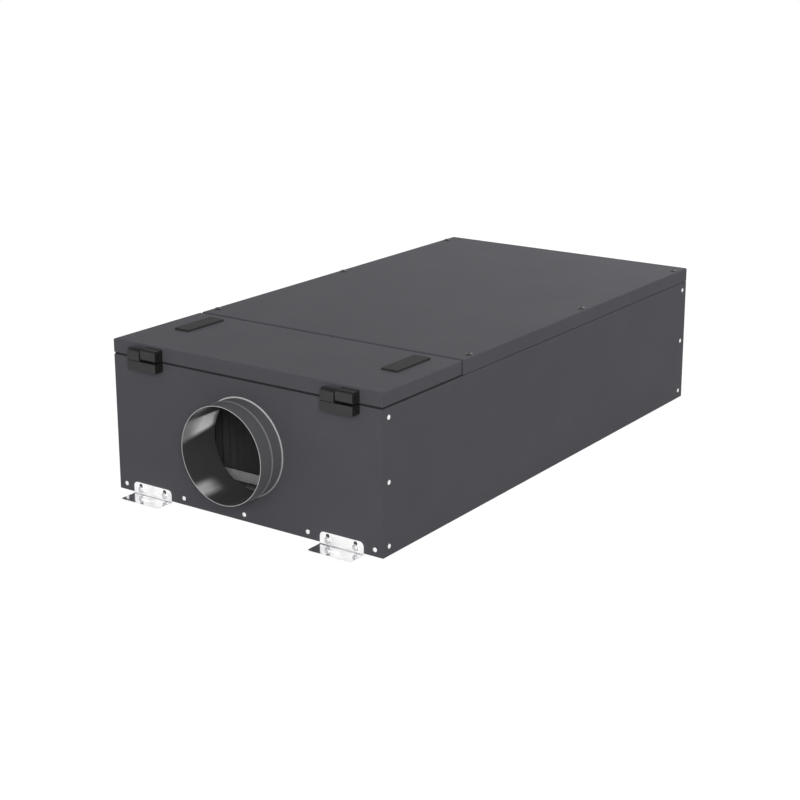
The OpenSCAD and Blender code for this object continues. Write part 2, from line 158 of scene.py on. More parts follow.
casing_coat, coat_tree, coat_shader = new_finish("casing_coat", specular=0.08, metallic=0.0)
coat_grain = place_effect(coat_tree, grain, {"Grain Size": 0.0011, "Cloud Size": 0.11})
coat_wear = place_effect(coat_tree, edge_wear, {"Width": 0.0009, "Patch Size": 0.012})
coat_cloud = spread(coat_tree, coat_grain.outputs["Cloud"], (0.3, 0.7), (0.0, 1.0))
coat_look = tint(coat_tree, coat_cloud, coat_colour, coat_light)
coat_rubbed = calculate(coat_tree, "MULTIPLY", coat_wear.outputs["Wear"], coat_wear_share)
coat_look = tint(coat_tree, coat_rubbed, coat_look, coat_worn)
coat_rough = spread(coat_tree, coat_grain.outputs["Grain"], (0.3, 0.7), (0.58, 0.7))
lay_finish(coat_tree, coat_shader, coat_look, coat_rough)
set_relief(coat_tree, coat_shader, coat_grain.outputs["Grain"], depth=0.00008, strength=0.5)


def dress(finish, *names):
    """Gives CAD nodes their finish."""
    for name in names:
        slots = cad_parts[name].data.materials
        slots.clear()
        slots.append(finish)


def ease_edges(width, *names):
    """Breaks the sharp edges of CAD nodes, as folding, moulding or deburring does."""
    for name in names:
        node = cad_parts[name]
        weld = node.modifiers.new("joined_faces", "WELD")
        weld.merge_threshold = weld_reach
        bevel = node.modifiers.new("eased_edges", "BEVEL")
        bevel.width = width
        bevel.segments = edge_steps
        bevel.limit_method = "ANGLE"
        bevel.angle_limit = sharp_turn
        bevel.harden_normals = True


dress(casing_coat, *casing_names)
ease_edges(sheet_edge, *casing_names)

# Lining: foil-faced insulation boards glued to the inside of the casing's floor and walls.
# The same boards fill the lid and the rear cover, where their cut edges show dark foam; painted
# near-black, these edges also stand as painted shade in the seam between lid and cover.
lining_names = ("floor_liner", "left_liner", "right_liner", "front_liner", "rear_liner")
core_names = ("lid_core", "rear_cover_core")
foil_colour = (0.42, 0.43, 0.44, 1.0)
foil_light = (0.62, 0.63, 0.64, 1.0)
foam_and_seam_shade = (0.012, 0.012, 0.013, 1.0)
foam_rough = 0.95
foil_metallic = 0.85
rim_slack = 0.0003
side_low, side_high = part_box("right_side_panel")

lining_foil, foil_tree, foil_shader = new_finish("lining_foil", 0.5, metallic=foil_metallic)
foil_places = add_node(foil_tree, "ShaderNodeTexCoord").outputs
foil_facing = add_node(foil_tree, "ShaderNodeSeparateXYZ", {0: foil_places["Normal"]})
foil_parts = add_node(foil_tree, "ShaderNodeSeparateXYZ", {0: foil_places["Object"]})
foil_level = calculate(foil_tree, "ABSOLUTE", foil_facing.outputs["Z"], 0.0)
foil_upright = spread(foil_tree, foil_level, (0.6, 0.4), (0.0, 1.0))
over_rim = (side_high.z - rim_slack, side_high.z)
in_cover = spread(foil_tree, foil_parts.outputs["Z"], over_rim, (0.0, 1.0))
# Upright edges of the boards above the casing's rim are painted near-black: dark foam, and painted
# shade in the seam between lid and cover.
foam_edge_and_seam_shade = calculate(foil_tree, "MULTIPLY", foil_upright, in_cover)
foil_grain = place_effect(foil_tree, grain, {"Grain Size": 0.006, "Cloud Size": 0.05})
foil_cloud = spread(foil_tree, foil_grain.outputs["Cloud"], (0.3, 0.7), (0.0, 1.0))
foil_look = tint(foil_tree, foil_cloud, foil_colour, foil_light)
foil_rough = spread(foil_tree, foil_grain.outputs["Grain"], (0.3, 0.7), (0.24, 0.36))
foil_look = tint(foil_tree, foam_edge_and_seam_shade, foil_look, foam_and_seam_shade)
edge_rough = calculate(foil_tree, "MULTIPLY", foam_edge_and_seam_shade, foam_rough)
foil_rough = calculate(foil_tree, "MAXIMUM", foil_rough, edge_rough)
foil_metal = spread(foil_tree, foam_edge_and_seam_shade, (0.0, 1.0), (foil_metallic, 0.0))
lay_finish(foil_tree, foil_shader, foil_look, foil_rough)
foil_tree.links.new(foil_metal, foil_shader.inputs["Metallic"])
set_relief(foil_tree, foil_shader, foil_grain.outputs["Grain"], depth=0.0004, strength=0.3)
dress(lining_foil, *lining_names, *core_names)

# Inner metalwork: seam rail, filter guides and sill, fan bulkhead, inlet ring and motor
# bracket, cut and folded from galvanised sheet whose zinc shows its crystal pattern.
metalwork_names = (
    "seam_rail",
    "filter_frame",
    "filter_sill",
    "left_filter_guide",
    "right_filter_guide",
    "fan_bulkhead",
    "fan_inlet_ring",
    "motor_bracket",
)
zinc_dull = (0.57, 0.575, 0.58, 1.0)
zinc_light = (0.74, 0.745, 0.75, 1.0)
crystal_size = 0.009

galvanised, zinc_tree, zinc_shader = new_finish("galvanised", specular=0.5, metallic=0.35)
zinc_place = add_node(zinc_tree, "ShaderNodeTexCoord").outputs["Object"]
crystals = add_node(
    zinc_tree, "ShaderNodeTexVoronoi", {"Vector": zinc_place, "Scale": 1.0 / crystal_size}
)
crystal_tone = add_node(zinc_tree, "ShaderNodeSeparateColor", {0: crystals.outputs["Color"]})
zinc_look = tint(zinc_tree, crystal_tone.outputs[0], zinc_dull, zinc_light)
zinc_rough = spread(zinc_tree, crystal_tone.outputs[1], (0.0, 1.0), (0.3, 0.48))
lay_finish(zinc_tree, zinc_shader, zinc_look, zinc_rough)
set_relief(zinc_tree, zinc_shader, crystals.outputs["Distance"], depth=0.0001, strength=0.2)
dress(galvanised, *metalwork_names)
ease_edges(sheet_edge, "filter_frame", "left_filter_guide", "right_filter_guide")

# Filter: a pleated cloth of dark bonded fibres, held in the metal frame above.
cloth_dark = (0.052, 0.052, 0.0533, 1.0)
cloth_light = (0.072, 0.072, 0.0735, 1.0)

filter_fibre, fibre_tree, fibre_shader = new_finish("filter_fibre", specular=0.15, metallic=0.0)
fibre_place = add_node(fibre_tree, "ShaderNodeTexCoord").outputs["Object"]
fibre_run = add_node(
    fibre_tree, "ShaderNodeMapping", {"Vector": fibre_place, "Scale": (1.0, 1.0, 0.25)}
)
fibres = add_node(
    fibre_tree,
    "ShaderNodeTexNoise",
    {"Vector": fibre_run.outputs[0], "Scale": 900.0, "Detail": 4.0, "Distortion": 1.5},
)
fibre_tone = spread(fibre_tree, fibres.outputs[0], (0.35, 0.65), (0.0, 1.0))
fibre_look = tint(fibre_tree, fibre_tone, cloth_dark, cloth_light)
fibre_rough = spread(fibre_tree, fibres.outputs[0], (0.3, 0.7), (0.85, 0.98))
lay_finish(fibre_tree, fibre_shader, fibre_look, fibre_rough)
set_relief(fibre_tree, fibre_shader, fibres.outputs[0], depth=0.0004, strength=0.6)
dress(filter_fibre, "filter_cloth")

# Fan: a bladed wheel on the shell of its outer-rotor motor, both coated matt black.
fan_black = (0.014, 0.014, 0.015, 1.0)
fan_grey = (0.03, 0.03, 0.032, 1.0)

fan_coat, fan_tree, fan_shader = new_finish("fan_coat", specular=0.4, metallic=0.0)
fan_grain = place_effect(fan_tree, grain, {"Grain Size": 0.0009, "Cloud Size": 0.03})
fan_wear = place_effect(fan_tree, edge_wear, {"Width": 0.0008, "Patch Size": 0.006})
fan_look = tint(fan_tree, fan_wear.outputs["Wear"], fan_black, fan_grey)
fan_rough = spread(fan_tree, fan_grain.outputs["Cloud"], (0.3, 0.7), (0.42, 0.6))
lay_finish(fan_tree, fan_shader, fan_look, fan_rough)
set_relief(fan_tree, fan_shader, fan_grain.outputs["Grain"], depth=0.00008, strength=0.4)
dress(fan_coat, "fan_wheel", "fan_motor")

# Spigots: short round duct sleeves rolled from bright sheet, beaded as a stop for the duct and
# seated in the panel with a thin collar. Outside they are coated; the rim and collar stay bare,
# and the collar is painted lighter towards the top, a painted highlight.
sleeve_low, sleeve_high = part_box("front_spigot")
panel_low, panel_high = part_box("front_panel")
sleeve_axis_z = (sleeve_low.z + sleeve_high.z) / 2
sleeve_rim_y = -sleeve_low.y
sleeve_root_y = -panel_low.y
rim_band = 0.0006
collar_band = 0.0012
stop_bead = (0.0222, 0.0252)
# Colour of the painted sheen, a painted reflection on the sleeve's inner wall.
painted_sheen_colour = (1.0, 1.0, 1.0, 1.0)
sheet_shade = (0.34, 0.34, 0.345, 1.0)
# The sleeve's coat is painted lighter than the casing's coat, painted light against the shade around
# the sleeve.
sleeve_coat_lightened = (0.107, 0.108, 0.115, 1.0)
rim_bare = (0.48, 0.48, 0.485, 1.0)
collar_low = (0.3, 0.3, 0.305, 1.0)
collar_high = (0.58, 0.58, 0.585, 1.0)
bead_crest_tone = (0.24, 0.24, 0.246, 1.0)
band_fade = 0.0002
collar_fade = 0.0003
collar_rise = (-0.06, 0.07)

spigot_sheet, spigot_tree, spigot_shader = new_finish("spigot_sheet", specular=0.2, metallic=0.0)
spigot_place = add_node(spigot_tree, "ShaderNodeTexCoord").outputs["Object"]
spigot_parts = add_node(spigot_tree, "ShaderNodeSeparateXYZ", {0: spigot_place})
spigot_rise = calculate(spigot_tree, "SUBTRACT", spigot_parts.outputs["Z"], sleeve_axis_z)
spoke = add_node(
    spigot_tree, "ShaderNodeCombineXYZ", {"X": spigot_parts.outputs["X"], "Z": spigot_rise}
)
spoke_unit = add_node(
    spigot_tree, "ShaderNodeVectorMath", {0: spoke.outputs[0]}, operation="NORMALIZE"
)
spigot_facing = add_node(spigot_tree, "ShaderNodeNewGeometry").outputs["Normal"]
outwards = add_node(
    spigot_tree,
    "ShaderNodeVectorMath",
    {0: spoke_unit.outputs[0], 1: spigot_facing},
    operation="DOT_PRODUCT",
)
inner_side = spread(spigot_tree, outwards.outputs["Value"], (-0.2, -0.4), (0.0, 1.0))
spigot_reach = calculate(spigot_tree, "ABSOLUTE", spigot_parts.outputs["Y"], 0.0)
from_panel = calculate(spigot_tree, "SUBTRACT", spigot_reach, sleeve_root_y)
rim_start = sleeve_rim_y - sleeve_root_y - rim_band
at_rim = spread(spigot_tree, from_panel, (rim_start, rim_start + band_fade), (0.0, 1.0))
collar_span = (collar_band + collar_fade, collar_band)
by_panel = spread(spigot_tree, from_panel, collar_span, (0.0, 1.0))
outer_side = calculate(spigot_tree, "SUBTRACT", 1.0, inner_side)
at_collar = calculate(spigot_tree, "MULTIPLY", by_panel, outer_side)

# Painted sheen inside the sleeve: broad bands of painted reflection that run along it, one high
# and one low on each side. Angles are counted down from the top, in radians, and depths
# outwards from the panel's face, in metres.
high_top = (0.93, 1.03)
high_foot = (1.46, 1.31)
high_slant = 2.2
high_mouth = (0.043, -0.002)
high_inside = (-0.026, -0.01)
high_peak = 1.25
high_at_mouth = 0.31
high_at_inside = 0.25
low_top = (2.3, 2.48)
low_foot = (2.8, 2.6)
low_mouth = (-0.004, 0.036)
low_peak = 0.7
from_middle = calculate(spigot_tree, "ABSOLUTE", spigot_parts.outputs["X"], 0.0)
turn_down = calculate(spigot_tree, "ARCTAN2", from_middle, spigot_rise)
high_start = spread(spigot_tree, turn_down, high_top, (0.0, high_peak), smooth=True)
sheen_slant = calculate(spigot_tree, "MULTIPLY", from_panel, high_slant)
high_turn = calculate(spigot_tree, "SUBTRACT", turn_down, sheen_slant)
high_end = spread(spigot_tree, high_turn, high_foot, (0.0, 1.0), smooth=True)
high_front = spread(spigot_tree, from_panel, high_mouth, (high_at_mouth, 1.0), smooth=True)
high_back = spread(spigot_tree, from_panel, high_inside, (high_at_inside, 1.0), smooth=True)
low_start = spread(spigot_tree, turn_down, low_top, (0.0, 1.0), smooth=True)
low_end = spread(spigot_tree, turn_down, low_foot, (0.0, 1.0), smooth=True)
low_front = spread(spigot_tree, from_panel, low_mouth, (0.0, low_peak), smooth=True)
high_painted_sheen = product(spigot_tree, high_start, high_end, high_front, high_back)
low_painted_sheen = product(spigot_tree, low_start, low_end, low_front)
painted_sheen = calculate(spigot_tree, "MAXIMUM", high_painted_sheen, low_painted_sheen)

# The coat is lighter along the crest of the stop bead.
bead_rise = spread(spigot_tree, from_panel, stop_bead, (-1.0, 1.0))
bead_away = calculate(spigot_tree, "ABSOLUTE", bead_rise, 0.0)
on_bead = spread(spigot_tree, bead_away, (1.0, 0.5), (0.0, 1.0))
coat_tone = tint(spigot_tree, on_bead, sleeve_coat_lightened, bead_crest_tone)
spigot_grain = place_effect(spigot_tree, grain, {"Grain Size": 0.0011, "Cloud Size": 0.03})
spigot_cloud = spread(spigot_tree, spigot_grain.outputs["Cloud"], (0.3, 0.7), (0.85, 1.0))
# Where the painted sheen runs, the inner wall turns from mirror-like zinc to a light matt colour, a
# painted reflection.
painted_sheen_share = calculate(spigot_tree, "MULTIPLY", painted_sheen, spigot_cloud)
painted_sheen_tone = tint(spigot_tree, painted_sheen_share, sheet_shade, painted_sheen_colour)
# The bare collar is painted lighter towards the top and darker towards the bottom, a painted
# highlight.
painted_collar_highlight = spread(spigot_tree, spigot_rise, collar_rise, (0.0, 1.0))
collar_tone = tint(spigot_tree, painted_collar_highlight, collar_low, collar_high)
spigot_look = tint(spigot_tree, inner_side, coat_tone, painted_sheen_tone)
spigot_look = tint(spigot_tree, at_collar, spigot_look, collar_tone)
spigot_look = tint(spigot_tree, at_rim, spigot_look, rim_bare)
behind_rim = calculate(spigot_tree, "SUBTRACT", 1.0, at_rim)
uncoated = calculate(spigot_tree, "MULTIPLY", inner_side, behind_rim)
spigot_mirror = spread(spigot_tree, painted_sheen_share, (0.0, 1.0), (0.85, 0.0))
spigot_metal = calculate(spigot_tree, "MULTIPLY", uncoated, spigot_mirror)
spigot_rough = spread(spigot_tree, uncoated, (0.0, 1.0), (0.55, 0.22))
lay_finish(spigot_tree, spigot_shader, spigot_look, spigot_rough)
spigot_tree.links.new(spigot_metal, spigot_shader.inputs["Metallic"])
set_relief(spigot_tree, spigot_shader, spigot_grain.outputs["Grain"], depth=0.00006, strength=0.3)
dress(spigot_sheet, "front_spigot", "rear_spigot")

# Gasket: a strip of soft cellular rubber stuck along the casing's rim under the lid.
rubber_dark = (0.008, 0.008, 0.009, 1.0)
rubber_light = (0.02, 0.02, 0.021, 1.0)
rubber_edge = 0.0008

gasket_rubber, rubber_tree, rubber_shader = new_finish("gasket_rubber", 0.25, metallic=0.0)
rubber_grain = place_effect(rubber_tree, grain, {"Grain Size": 0.0007, "Cloud Size": 0.02})
rubber_look = tint(rubber_tree, rubber_grain.outputs["Cloud"], rubber_dark, rubber_light)
rubber_rough = spread(rubber_tree, rubber_grain.outputs["Grain"], (0.3, 0.7), (0.75, 0.95))
lay_finish(rubber_tree, rubber_shader, rubber_look, rubber_rough)
set_relief(rubber_tree, rubber_shader, rubber_grain.outputs["Grain"], depth=0.0003, strength=0.7)
dress(gasket_rubber, "lid_gasket")
ease_edges(rubber_edge, "lid_gasket")

# Rear cover: a shallow pan folded from the casing's sheet, laid over the rear of the unit.
dress(casing_coat, "rear_cover")
ease_edges(sheet_edge, "rear_cover")

# Rivets: bright domed heads that hold the corner folds of the side and end panels.
rivet_radius = 0.0037
rivet_height = 0.0007
dome_base = -0.15
head_turn_most = 1.05
front_rivet_x = (-0.252, -0.126, 0.0, 0.126, 0.252)
front_rivet_rise = 0.011
side_rivet_inset = 0.0157
side_rivet_rise = (0.015, 0.115, 0.215)
bright_dull = (0.9, 0.9, 0.905, 1.0)
bright_light = (0.98, 0.98, 0.985, 1.0)

bright_zinc, bright_tree, bright_shader = new_finish("bright_zinc", specular=0.5, metallic=0.3)
bright_grain = place_effect(bright_tree, grain, {"Grain Size": 0.0016, "Cloud Size": 0.018})
bright_cloud = spread(bright_tree, bright_grain.outputs["Cloud"], (0.3, 0.6), (0.0, 1.0))
bright_look = tint(bright_tree, bright_cloud, bright_dull, bright_light)
bright_rough = spread(bright_tree, bright_grain.outputs["Grain"], (0.3, 0.7), (0.06, 0.12))
lay_finish(bright_tree, bright_shader, bright_look, bright_rough)
set_relief(bright_tree, bright_shader, bright_grain.outputs["Grain"], depth=0.00003, strength=0.2)


def make_heads(name, sizes):
    """An empty tree that stands heads on points, with the outputs of its input node."""
    tree = bpy.data.node_groups.new(name, "GeometryNodeTree")
    tree.interface.new_socket("Points", in_out="INPUT", socket_type="NodeSocketGeometry")
    tree.interface.new_socket("Heads", in_out="OUTPUT", socket_type="NodeSocketGeometry")
    for label in sizes:
        tree.interface.new_socket(label, in_out="INPUT", socket_type="NodeSocketFloat")
    tree.interface.new_socket("Finish", in_out="INPUT", socket_type="NodeSocketMaterial")
    return tree, tree.nodes.new("NodeGroupInput").outputs


def domed(tree, radius, height):
    """A round dome of that radius and height whose flat underside lies just below zero."""
    ball = add_node(tree, "GeometryNodeMeshUVSphere", {"Segments": 24, "Rings": 16, "Radius": 1.0})
    point = add_node(tree, "GeometryNodeInputPosition").outputs[0]
    along = add_node(tree, "ShaderNodeSeparateXYZ", {0: point}).outputs
    level = calculate(tree, "MAXIMUM", along["Z"], dome_base)
    pressed = {
        "X": calculate(tree, "MULTIPLY", along["X"], radius),
        "Y": calculate(tree, "MULTIPLY", along["Y"], radius),
        "Z": calculate(tree, "MULTIPLY", level, height),
    }
    place = add_node(tree, "ShaderNodeCombineXYZ", pressed).outputs[0]
    shaped = {"Geometry": ball.outputs["Mesh"], "Position": place}
    return add_node(tree, "GeometryNodeSetPosition", shaped).outputs[0]


def stand_heads(tree, sockets, head):
    """Ends a tree: the head on each point, along that point's facing, turned by chance."""
    facing = add_node(
        tree, "GeometryNodeInputNamedAttribute", {"Name": "facing"}, data_type="FLOAT_VECTOR"
    )
    upright = add_node(
        tree, "FunctionNodeAlignRotationToVector", {"Vector": facing.outputs[0]}, axis="Z"
    )
    chance = add_node(tree, "FunctionNodeRandomValue", {2: 0.0, 3: head_turn_most, "Seed": 7})
    turn = add_node(
        tree, "FunctionNodeAxisAngleToRotation", {"Axis": (0, 0, 1), "Angle": chance.outputs[1]}
    )
    turned = add_node(
        tree,
        "FunctionNodeRotateRotation",
        {"Rotation": upright.outputs[0], "Rotate By": turn.outputs[0]},
        rotation_space="LOCAL",
    )
    stood = {"Points": sockets["Points"], "Instance": head, "Rotation": turned.outputs[0]}
    heads = add_node(tree, "GeometryNodeInstanceOnPoints", stood)
    real = add_node(tree, "GeometryNodeRealizeInstances", {0: heads.outputs[0]})
    finished = {"Geometry": real.outputs[0], "Material": sockets["Finish"]}
    painted = add_node(tree, "GeometryNodeSetMaterial", finished)
    add_node(tree, "NodeGroupOutput", {0: painted.outputs[0]})


def set_out(name, tree, spots, sizes, finish):
    """Stands a tree's heads on (place, facing) spots of the casing and keeps the plain mesh."""
    points = bpy.data.meshes.new(name + "_points")
    points.from_pydata([place for place, facing in spots], [], [])
    directions = points.attributes.new("facing", "FLOAT_VECTOR", "POINT")
    for mark, (place, facing) in zip(directions.data, spots):
        mark.vector = facing
    piece = bpy.data.objects.new(name, points)
    bpy.context.collection.objects.link(piece)
    heads = piece.modifiers.new("heads", "NODES")
    heads.node_group = tree
    for socket in tree.interface.items_tree:
        if socket.name in sizes:
            heads[socket.identifier] = sizes[socket.name]
        elif socket.name == "Finish":
            heads[socket.identifier] = finish
    solid = piece.evaluated_get(bpy.context.evaluated_depsgraph_get())
    mesh = bpy.data.meshes.new_from_object(solid)
    piece.modifiers.remove(heads)
    piece.data = mesh
    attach(piece, "casing")
    return piece


rivet_tree, rivet_sockets = make_heads("rivet_heads", ("Head Radius", "Head Height"))
rivet_dome = domed(rivet_tree, rivet_sockets["Head Radius"], rivet_sockets["Head Height"])
rivet_smooth = add_node(rivet_tree, "GeometryNodeSetShadeSmooth", {"Geometry": rivet_dome})
stand_heads(rivet_tree, rivet_sockets, rivet_smooth.outputs[0])

rivet_spots = []
for end in (-1, 1):
    for rivet_x in front_rivet_x:
        spot = Vector((rivet_x, end * sleeve_root_y, side_low.z + front_rivet_rise))
        rivet_spots.append((spot, Vector((0, end, 0))))
    for side in (-1, 1):
        for rise in side_rivet_rise:
            spot_y = end * (side_high.y - side_rivet_inset)
            spot = Vector((side * side_high.x, spot_y, side_low.z + rise))
            rivet_spots.append((spot, Vector((side, 0, 0))))
rivet_sizes = {"Head Radius": rivet_radius, "Head Height": rivet_height}
set_out("rivets", rivet_tree, rivet_spots, rivet_sizes, bright_zinc)

# Cover screws: black button heads with a flange and a six-sided socket, three along each
# side of the rear cover, driven into the casing's rim.
cover_low, cover_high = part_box("rear_cover")
cover_screw_inset = 0.0095
cover_screw_y = (0.244, 0.604, 0.961)
cover_screw_sizes = {
    "Head Radius": 0.0053,
    "Head Height": 0.0021,
    "Flange Radius": 0.0066,
    "Flange Height": 0.0008,
    "Socket Radius": 0.0022,
    "Socket Depth": 0.0014,
}
screw_black = (0.012, 0.012, 0.013, 1.0)
screw_grey = (0.03, 0.03, 0.032, 1.0)

screw_tree, screw_sockets = make_heads("screw_heads", cover_screw_sizes)
button = domed(screw_tree, screw_sockets["Head Radius"], screw_sockets["Head Height"])
flange_round = {
    "Vertices": 32,
    "Radius": screw_sockets["Flange Radius"],
    "Depth": screw_sockets["Flange Height"],
}
flange = add_node(screw_tree, "GeometryNodeMeshCylinder", flange_round).outputs["Mesh"]
flange_rise = calculate(screw_tree, "MULTIPLY", screw_sockets["Flange Height"], 0.5)
flange_place = add_node(screw_tree, "ShaderNodeCombineXYZ", {"Z": flange_rise}).outputs[0]
flange = add_node(screw_tree, "GeometryNodeTransform", {0: flange, "Translation": flange_place})
button_rise = add_node(
    screw_tree, "ShaderNodeCombineXYZ", {"Z": screw_sockets["Flange Height"]}
).outputs[0]
button = add_node(screw_tree, "GeometryNodeTransform", {0: button, "Translation": button_rise})
screw_blank = add_node(
    screw_tree,
    "GeometryNodeMeshBoolean",
    {"Mesh 2": button.outputs[0]},
    operation="UNION",
    solver="EXACT",
)
screw_tree.links.new(flange.outputs[0], screw_blank.inputs["Mesh 2"])
socket_round = {
    "Vertices": 6,
    "Radius": screw_sockets["Socket Radius"],
    "Depth": calculate(screw_tree, "MULTIPLY", screw_sockets["Socket Depth"], 2.0),
}
socket_form = add_node(screw_tree, "GeometryNodeMeshCylinder", socket_round).outputs["Mesh"]
screw_top = calculate(
    screw_tree, "ADD", screw_sockets["Flange Height"], screw_sockets["Head Height"]
)
socket_place = add_node(screw_tree, "ShaderNodeCombineXYZ", {"Z": screw_top}).outputs[0]
socket_form = add_node(
    screw_tree, "GeometryNodeTransform", {0: socket_form, "Translation": socket_place}
)
screw_head = add_node(
    screw_tree,
    "GeometryNodeMeshBoolean",
    {"Mesh 1": screw_blank.outputs[0], "Mesh 2": socket_form.outputs[0]},
    operation="DIFFERENCE",
    solver="EXACT",
)
stand_heads(screw_tree, screw_sockets, screw_head.outputs[0])

black_zinc, screw_look_tree, screw_shader = new_finish("black_zinc", specular=0.5, metallic=0.0)
screw_grain = place_effect(screw_look_tree, grain, {"Grain Size": 0.0008, "Cloud Size": 0.006})
screw_wear = place_effect(screw_look_tree, edge_wear, {"Width": 0.0005, "Patch Size": 0.002})
screw_look = tint(screw_look_tree, screw_wear.outputs["Wear"], screw_black, screw_grey)
screw_rough = spread(screw_look_tree, screw_grain.outputs["Cloud"], (0.3, 0.7), (0.28, 0.42))
lay_finish(screw_look_tree, screw_shader, screw_look, screw_rough)
set_relief(screw_look_tree, screw_shader, screw_grain.outputs["Grain"], 0.00003, strength=0.3)

cover_screw_spots = []
for side in (-1, 1):
    for reach in cover_screw_y:
        spot_x = side * (cover_high.x - cover_screw_inset)
        spot = Vector((spot_x, reach - sleeve_root_y, cover_high.z))
        cover_screw_spots.append((spot, Vector((0, 0, 1))))
set_out(
    "cover_screws", screw_tree, cover_screw_spots, cover_screw_sizes, black_zinc
)

# Mounting brackets: angles of thick steel strip at the four lower corners, plated bright.
# Each is held to the end panel by two button screws of duller zinc.
bracket_names = (
    "front_left_bracket",
    "front_right_bracket",
    "rear_left_bracket",
    "rear_right_bracket",
)
bracket_screw_apart = 0.026
bracket_screw_rise = 0.0074
bracket_leaf = 0.0025
bracket_screw_sizes = {
    "Head Radius": 0.0044,
    "Head Height": 0.0022,
    "Flange Radius": 0.0056,
    "Flange Height": 0.0009,
    "Socket Radius": 0.002,
    "Socket Depth": 0.0016,
}
fold_painted_shade = (0.4, 0.4, 0.41, 1.0)
plate_dull = (0.84, 0.84, 0.85, 1.0)
plate_light = (0.98, 0.98, 0.985, 1.0)
screw_plate_dull = (0.5, 0.5, 0.51, 1.0)
screw_plate_light = (0.66, 0.66, 0.67, 1.0)
bracket_edge = 0.0004

bracket_zinc, bracket_tree, bracket_shader = new_finish("bracket_zinc", 0.5, metallic=1.0)
bracket_grain = place_effect(bracket_tree, grain, {"Grain Size": 0.0016, "Cloud Size": 0.03})
bracket_cloud = spread(bracket_tree, bracket_grain.outputs["Cloud"], (0.35, 0.55), (0.0, 1.0))
bracket_tone = tint(bracket_tree, bracket_cloud, plate_dull, plate_light)
# The inside of each fold is painted darker, a painted shade in the crease.
bracket_facing = add_node(bracket_tree, "ShaderNodeNewGeometry").outputs["Normal"]
bracket_turn = add_node(bracket_tree, "ShaderNodeSeparateXYZ", {0: bracket_facing}).outputs
turned_out = calculate(bracket_tree, "ABSOLUTE", bracket_turn["Y"], 0.0)
in_fold = calculate(bracket_tree, "MULTIPLY", turned_out, bracket_turn["Z"])
fold_shade_share = spread(bracket_tree, in_fold, (0.15, 0.4), (0.0, 0.8))
bracket_look = tint(bracket_tree, fold_shade_share, bracket_tone, fold_painted_shade)
bracket_rough = spread(bracket_tree, bracket_grain.outputs["Grain"], (0.3, 0.7), (0.1, 0.18))
lay_finish(bracket_tree, bracket_shader, bracket_look, bracket_rough)
set_relief(bracket_tree, bracket_shader, bracket_grain.outputs["Grain"], 0.00002, strength=0.15)

dull_zinc, dull_tree, dull_shader = new_finish("dull_zinc", specular=0.5, metallic=0.7)
dull_grain = place_effect(dull_tree, grain, {"Grain Size": 0.0009, "Cloud Size": 0.004})
dull_look = tint(dull_tree, dull_grain.outputs["Cloud"], screw_plate_dull, screw_plate_light)
dull_rough = spread(dull_tree, dull_grain.outputs["Grain"], (0.3, 0.7), (0.3, 0.45))
lay_finish(dull_tree, dull_shader, dull_look, dull_rough)
set_relief(dull_tree, dull_shader, dull_grain.outputs["Grain"], depth=0.00003, strength=0.2)

dress(bracket_zinc, *bracket_names)
ease_edges(bracket_edge, *bracket_names)
bracket_screw_spots = []
for name in bracket_names:
    low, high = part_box(name)
    end = 1 if low.y > 0 else -1
    middle = (low.x + high.x) / 2
    for side in (-1, 1):
        spot_x = middle + side * bracket_screw_apart
        spot_y = end * (sleeve_root_y + bracket_leaf)
        spot = Vector((spot_x, spot_y, side_low.z + bracket_screw_rise))
        bracket_screw_spots.append((spot, Vector((0, end, 0))))
set_out(
    "bracket_screws", screw_tree, bracket_screw_spots, bracket_screw_sizes, dull_zinc
)

# Hinges: moulded black plastic, a base with a knuckle on the casing and a block on the lid
# that turns on a pin between them. Their fronts are painted grey and their other faces
# near-black: painted light on the fronts and painted shade on the other faces.
hinge_names = ("left_hinge_base", "right_hinge_base", "left_hinge_leaf", "right_hinge_leaf")
plastic_black = (0.018, 0.018, 0.0187, 1.0)
plastic_painted_light = (0.056, 0.056, 0.0565, 1.0)
plastic_rubbed = (0.06, 0.06, 0.061, 1.0)
plastic_wear_share = 0.2
hinge_edge = 0.0007
front_depth = 0.003
front_fade = 0.001

black_plastic, plastic_tree, plastic_shader = new_finish("black_plastic", 0.04, metallic=0.0)
plastic_grain = place_effect(plastic_tree, grain, {"Grain Size": 0.0009, "Cloud Size": 0.012})
plastic_wear = place_effect(plastic_tree, edge_wear, {"Width": 0.0008, "Patch Size": 0.004})
plastic_facing = add_node(plastic_tree, "ShaderNodeNewGeometry").outputs["Normal"]
plastic_turn = add_node(plastic_tree, "ShaderNodeSeparateXYZ", {0: plastic_facing}).outputs
plastic_place = add_node(plastic_tree, "ShaderNodeTexCoord").outputs["Object"]
plastic_parts = add_node(plastic_tree, "ShaderNodeSeparateXYZ", {0: plastic_place}).outputs
# The fronts are painted grey against near-black elsewhere, painted light on the fronts and painted
# shade on the other faces.
plastic_front = calculate(plastic_tree, "ABSOLUTE", plastic_turn["Y"], 0.0)
painted_lit_front = spread(plastic_tree, plastic_front, (0.72, 0.94), (0.0, 1.0), smooth=True)
leaf_low, leaf_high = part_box("left_hinge_leaf")
fore_end = leaf_low.y + front_depth
fore_span = (fore_end + front_fade, fore_end)
at_front = spread(plastic_tree, plastic_parts["Y"], fore_span, (0.0, 1.0))
painted_lit_front = calculate(plastic_tree, "MULTIPLY", painted_lit_front, at_front)
plastic_cloud = spread(plastic_tree, plastic_grain.outputs["Cloud"], (0.3, 0.7), (0.85, 1.0))
painted_light_share = calculate(plastic_tree, "MULTIPLY", painted_lit_front, plastic_cloud)
plastic_tone = tint(plastic_tree, painted_light_share, plastic_black, plastic_painted_light)
plastic_handled = calculate(plastic_tree, "MULTIPLY", plastic_wear.outputs["Wear"], plastic_wear_share)
